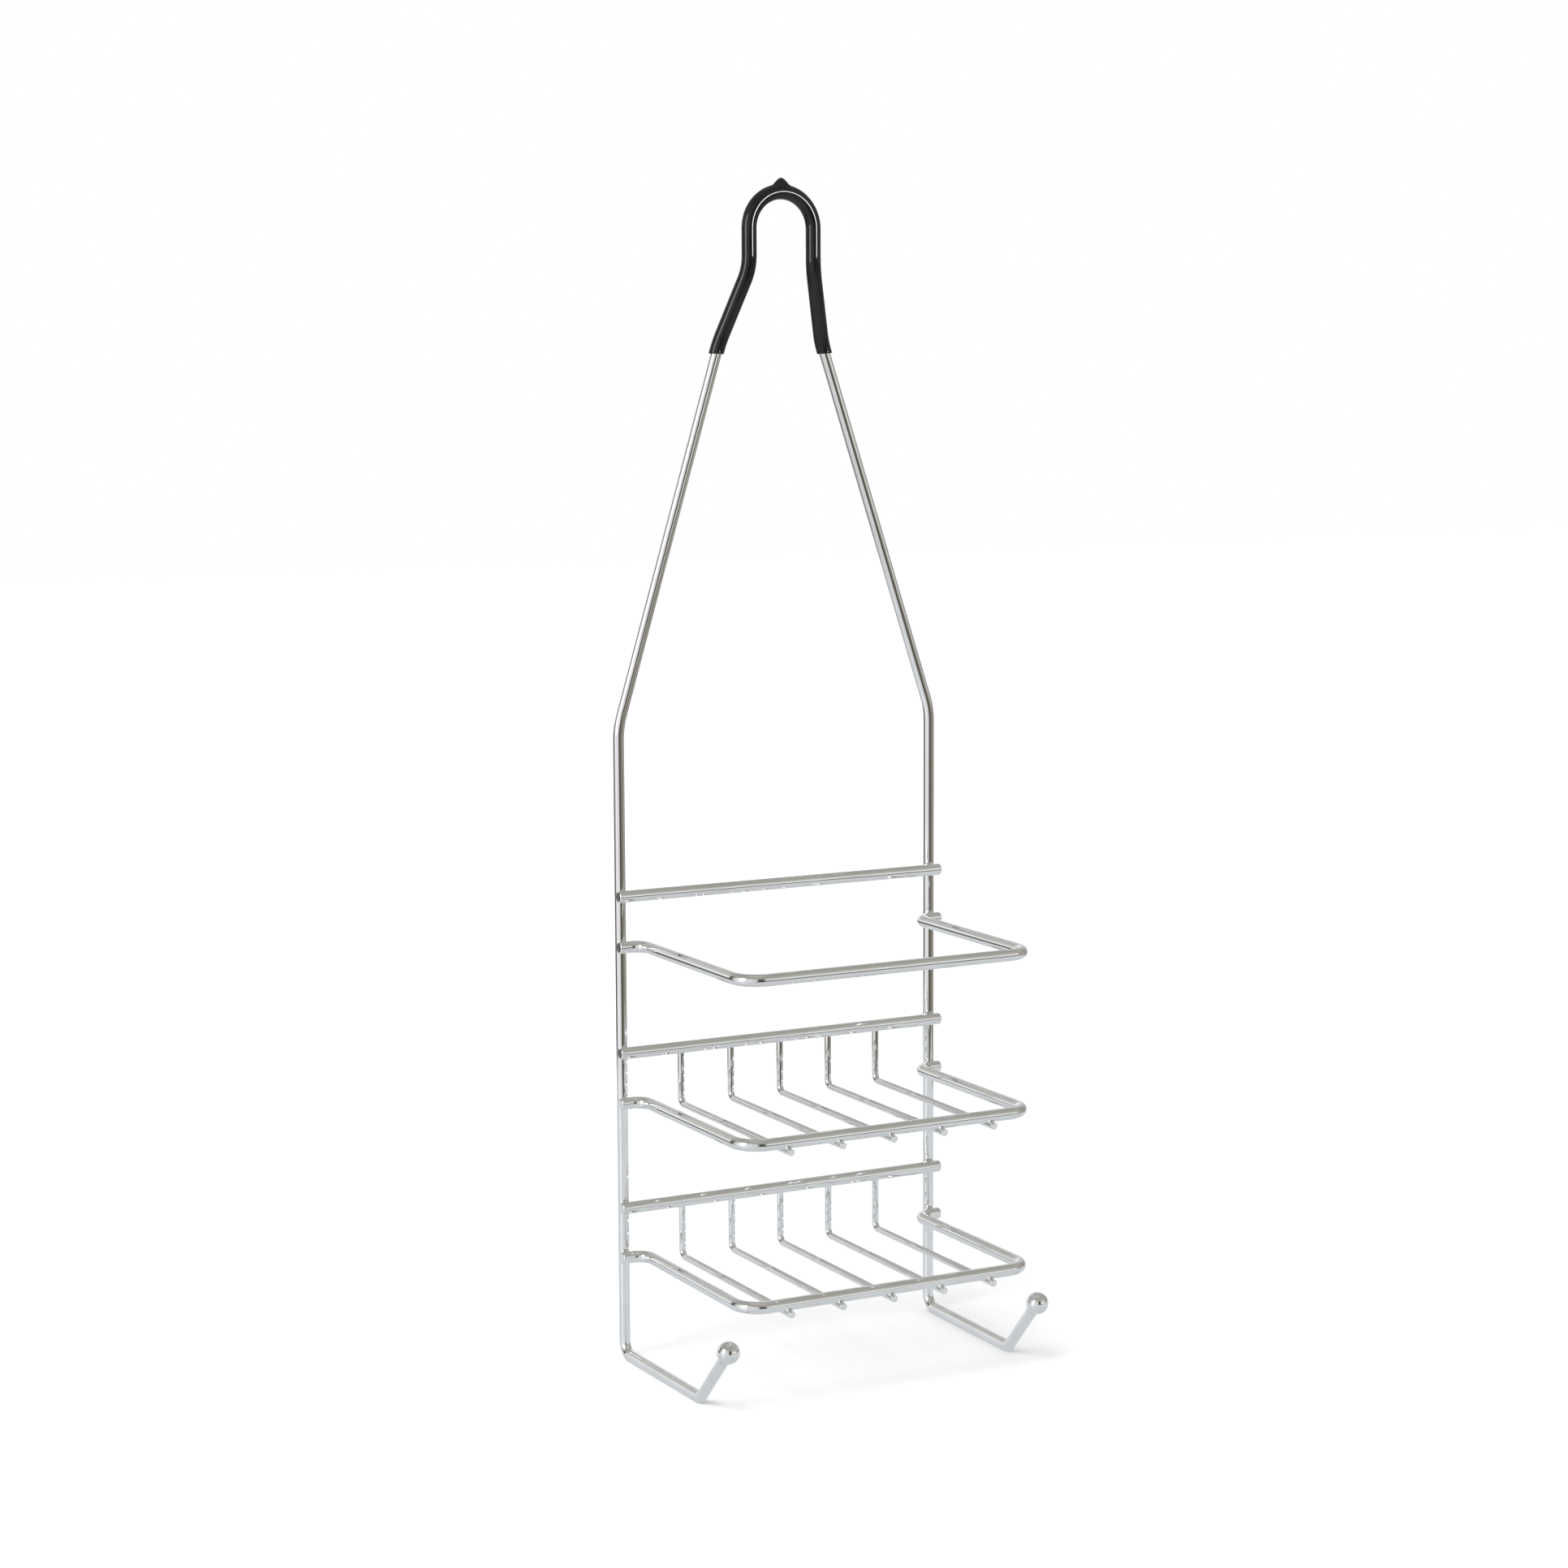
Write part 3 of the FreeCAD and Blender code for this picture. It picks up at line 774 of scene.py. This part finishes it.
def build_world(forward, right):
    """A plain white room for the camera and the floor, and a room of soft bands for the gloss."""
    world = bpy.data.worlds.new("soft_room")
    bpy.context.scene.world = world
    world.use_nodes = True
    tree = world.node_tree
    tree.nodes.clear()
    direction = tree.nodes.new("ShaderNodeTexCoord").outputs["Generated"]
    # Both angles run from 0 to 1, as the ramps do.
    turn = add_math(tree, "ARCTAN2", add_dot(tree, direction, right), add_dot(tree, direction, forward))
    turn = add_math(tree, "MULTIPLY_ADD", turn, 0.5 / math.pi, 0.5)
    height = add_math(tree, "ARCSINE", add_dot(tree, direction, (0, 0, 1)))
    height = add_math(tree, "MULTIPLY_ADD", height, 1 / math.pi, 0.5)
    walls = add_math(tree, "MULTIPLY", angle_ramp(tree, height, WALL_HOLD),
                     angle_ramp(tree, turn, WALL_SIDES))
    hold = add_math(tree, "MAXIMUM", angle_ramp(tree, height, ROUND_HOLD), walls)
    room = mix_colours(tree, hold, angle_ramp(tree, height, ROOM_UP),
                       angle_ramp(tree, turn, ROOM_ROUND))
    doorway = add_math(tree, "MULTIPLY", angle_ramp(tree, height, DOORWAY_HOLD),
                       angle_ramp(tree, turn, DOORWAY_SIDES))
    room = mix_colours(tree, doorway, room, DOORWAY_SHADE)
    mirrored_room = tree.nodes.new("ShaderNodeBackground")
    tree.links.new(room, mirrored_room.inputs["Color"])
    plain_room = tree.nodes.new("ShaderNodeBackground")
    plain_room.inputs["Color"].default_value = (1, 1, 1, 1)
    plain_room.inputs["Strength"].default_value = 1.0
    choice = tree.nodes.new("ShaderNodeMixShader")
    glossy = tree.nodes.new("ShaderNodeLightPath").outputs["Is Glossy Ray"]
    output = tree.nodes.new("ShaderNodeOutputWorld")
    tree.links.new(glossy, choice.inputs[0])
    tree.links.new(plain_room.outputs[0], choice.inputs[1])
    tree.links.new(mirrored_room.outputs[0], choice.inputs[2])
    tree.links.new(choice.outputs[0], output.inputs["Surface"])


def add_plane(name, side, height, material):
    """A square sheet at a height, marked as stage."""
    mesh = bmesh.new()
    bmesh.ops.create_grid(mesh, x_segments=1, y_segments=1, size=side / 2,
                          matrix=Matrix.Translation((0, 0, height)))
    data = bpy.data.meshes.new(name)
    mesh.to_mesh(data)
    mesh.free()
    data.materials.append(material)
    plane = bpy.data.objects.new(name, data)
    bpy.context.scene.collection.objects.link(plane)
    return plane


def add_area_light(name, place, target, size, radiance, shade=(1, 1, 1)):
    """Soft box of a given radiance, turned to a target."""
    data = bpy.data.lights.new(name, "AREA")
    data.shape = "RECTANGLE"
    data.size, data.size_y = size
    data.energy = radiance * math.pi * size[0] * size[1]
    data.color = shade
    light = bpy.data.objects.new(name, data)
    bpy.context.scene.collection.objects.link(light)
    heading = (Vector(target) - Vector(place)).to_track_quat("-Z", "Y")
    light.matrix_world = Matrix.Translation(place) @ heading.to_matrix().to_4x4()
    return light


def add_camera(studio):
    """Camera at the viewing angle. Returns the ways back towards it and to its right."""
    place = Vector(studio.camera_place)
    back = (place - Vector(studio.camera_target)).normalized()
    level = Vector((0, 0, 1)).cross(back).normalized()
    data = bpy.data.cameras.new("camera")
    data.lens = studio.camera_lens
    data.sensor_width = SENSOR_WIDTH
    data.dof.use_dof = False
    camera = bpy.data.objects.new("camera", data)
    bpy.context.scene.collection.objects.link(camera)
    axes = Matrix((level, back.cross(level), back)).transposed()
    roll = Matrix.Rotation(studio.camera_roll, 3, "Z")
    camera.matrix_world = Matrix.Translation(place) @ (axes @ roll).to_4x4()
    bpy.context.scene.camera = camera
    return back, level


def floor_material(studio):
    """Pale matt floor that glows softly further out, so that it fades into the white room."""
    material, tree, shader = new_material("pale_floor")
    place = tree.nodes.new("ShaderNodeTexCoord").outputs["Object"]
    distance = tree.nodes.new("ShaderNodeVectorMath")
    distance.operation = "LENGTH"
    tree.links.new(place, distance.inputs[0])
    glow = map_between(tree, distance.outputs["Value"], 0.0, studio.floor_glow,
                       studio.glow_start, studio.glow_end)
    shader.inputs["Base Color"].default_value = (*studio.floor_colour, 1.0)
    shader.inputs["Roughness"].default_value = 0.9
    shader.inputs["Specular IOR Level"].default_value = 0.0
    shader.inputs["Emission Color"].default_value = (1.0, 1.0, 1.0, 1.0)
    tree.links.new(glow, shader.inputs["Emission Strength"])
    return material


class CADDY_OT_stage(Operator):
    """Lay the pale floor, hang the soft lights and set up the camera"""

    bl_idname = "caddy.stage"
    bl_label = "Stage"

    def execute(self, context):
        studio = context.scene.caddy_studio
        context.scene.view_settings.view_transform = "Standard"
        back, right = add_camera(studio)
        forward = Vector((back.x, back.y, 0)).normalized()
        build_world(forward, right)
        floor_height = CAD_BOX[0][2]
        floor = add_plane("floor", studio.floor_size, floor_height, floor_material(studio))
        floor.visible_glossy = False
        self.lay_paper(studio, floor_height)
        self.hang_lights(forward, right)
        return {"FINISHED"}

    def lay_paper(self, studio, floor_height):
        """Bright sheet on the floor that only shows in the chrome and the vinyl."""
        glow, _, shader = new_material("paper_glow")
        shader.inputs["Base Color"].default_value = (0, 0, 0, 1)
        shader.inputs["Emission Color"].default_value = (*studio.sheet_colour, 1.0)
        shader.inputs["Emission Strength"].default_value = 1.0
        sheet = add_plane("paper_sheet", studio.sheet_size, floor_height - SHEET_GAP, glow)
        for ray in ("camera", "diffuse", "shadow", "transmission", "volume_scatter"):
            setattr(sheet, "visible_" + ray, False)

    def hang_lights(self, forward, right):
        """Key from above, window on the left, and a small lamp that only lights the vinyl."""
        def beside(distance, angle, height):
            level = forward * math.cos(angle) + right * math.sin(angle)
            return distance * level + Vector((0, 0, height))

        key = add_area_light("key", KEY_PLACE, KEY_TARGET, KEY_SIZE, KEY_RADIANCE)
        key.visible_glossy = False
        add_area_light("window", beside(WINDOW_DISTANCE, WINDOW_ROUND, WINDOW_HEIGHT),
                       (0, 0, WINDOW_HEIGHT), WINDOW_SIZE, WINDOW_RADIANCE)
        lamp = add_area_light("lamp", beside(LAMP_DISTANCE, LAMP_ROUND, LAMP_HEIGHT),
                              LAMP_TARGET, LAMP_SIZE, LAMP_RADIANCE, LAMP_SHADE)
        vinyl = bpy.data.collections.new("lamp_receivers")
        vinyl.objects.link(bpy.data.objects[GRIP_PIECE])
        lamp.light_linking.receiver_collection = vinyl


# ---------------------------------------------------------------- add-on


STEPS = (
    CADDY_OT_frame_wire,
    CADDY_OT_vinyl_grip,
    CADDY_OT_hook_balls,
    CADDY_OT_rails,
    CADDY_OT_front_loops,
    CADDY_OT_shelf_wires,
    CADDY_OT_stage,
)


class CADDY_PT_workshop(Panel):
    """Buttons for each step of the caddy"""

    bl_label = "Shower Caddy"
    bl_idname = "CADDY_PT_workshop"
    bl_space_type = "VIEW_3D"
    bl_region_type = "UI"
    bl_category = "Caddy"

    def draw(self, context):
        for step in STEPS:
            self.layout.operator(step.bl_idname)


GROUPS = {
    "caddy_wires": CaddyWireSizes,
    "caddy_frame": CaddyFrameSizes,
    "caddy_loops": CaddyLoopSizes,
    "caddy_grip": CaddyGripSizes,
    "caddy_welds": CaddyWeldSizes,
    "caddy_finishes": CaddyFinishes,
    "caddy_studio": CaddyStudio,
}


def register():
    for group in GROUPS.values():
        bpy.utils.register_class(group)
    for name, group in GROUPS.items():
        setattr(bpy.types.Scene, name, PointerProperty(type=group))
    for item in STEPS + (CADDY_PT_workshop,):
        bpy.utils.register_class(item)


def unregister():
    for item in reversed(STEPS + (CADDY_PT_workshop,)):
        bpy.utils.unregister_class(item)
    for name in GROUPS:
        delattr(bpy.types.Scene, name)
    for group in reversed(list(GROUPS.values())):
        bpy.utils.unregister_class(group)


def main():
    """Builds the whole caddy."""
    register()
    bpy.ops.caddy.frame_wire()
    bpy.ops.caddy.vinyl_grip()
    bpy.ops.caddy.hook_balls()
    bpy.ops.caddy.rails()
    bpy.ops.caddy.front_loops()
    bpy.ops.caddy.shelf_wires()
    bpy.ops.caddy.stage()


if __name__ == "__main__":
    main()
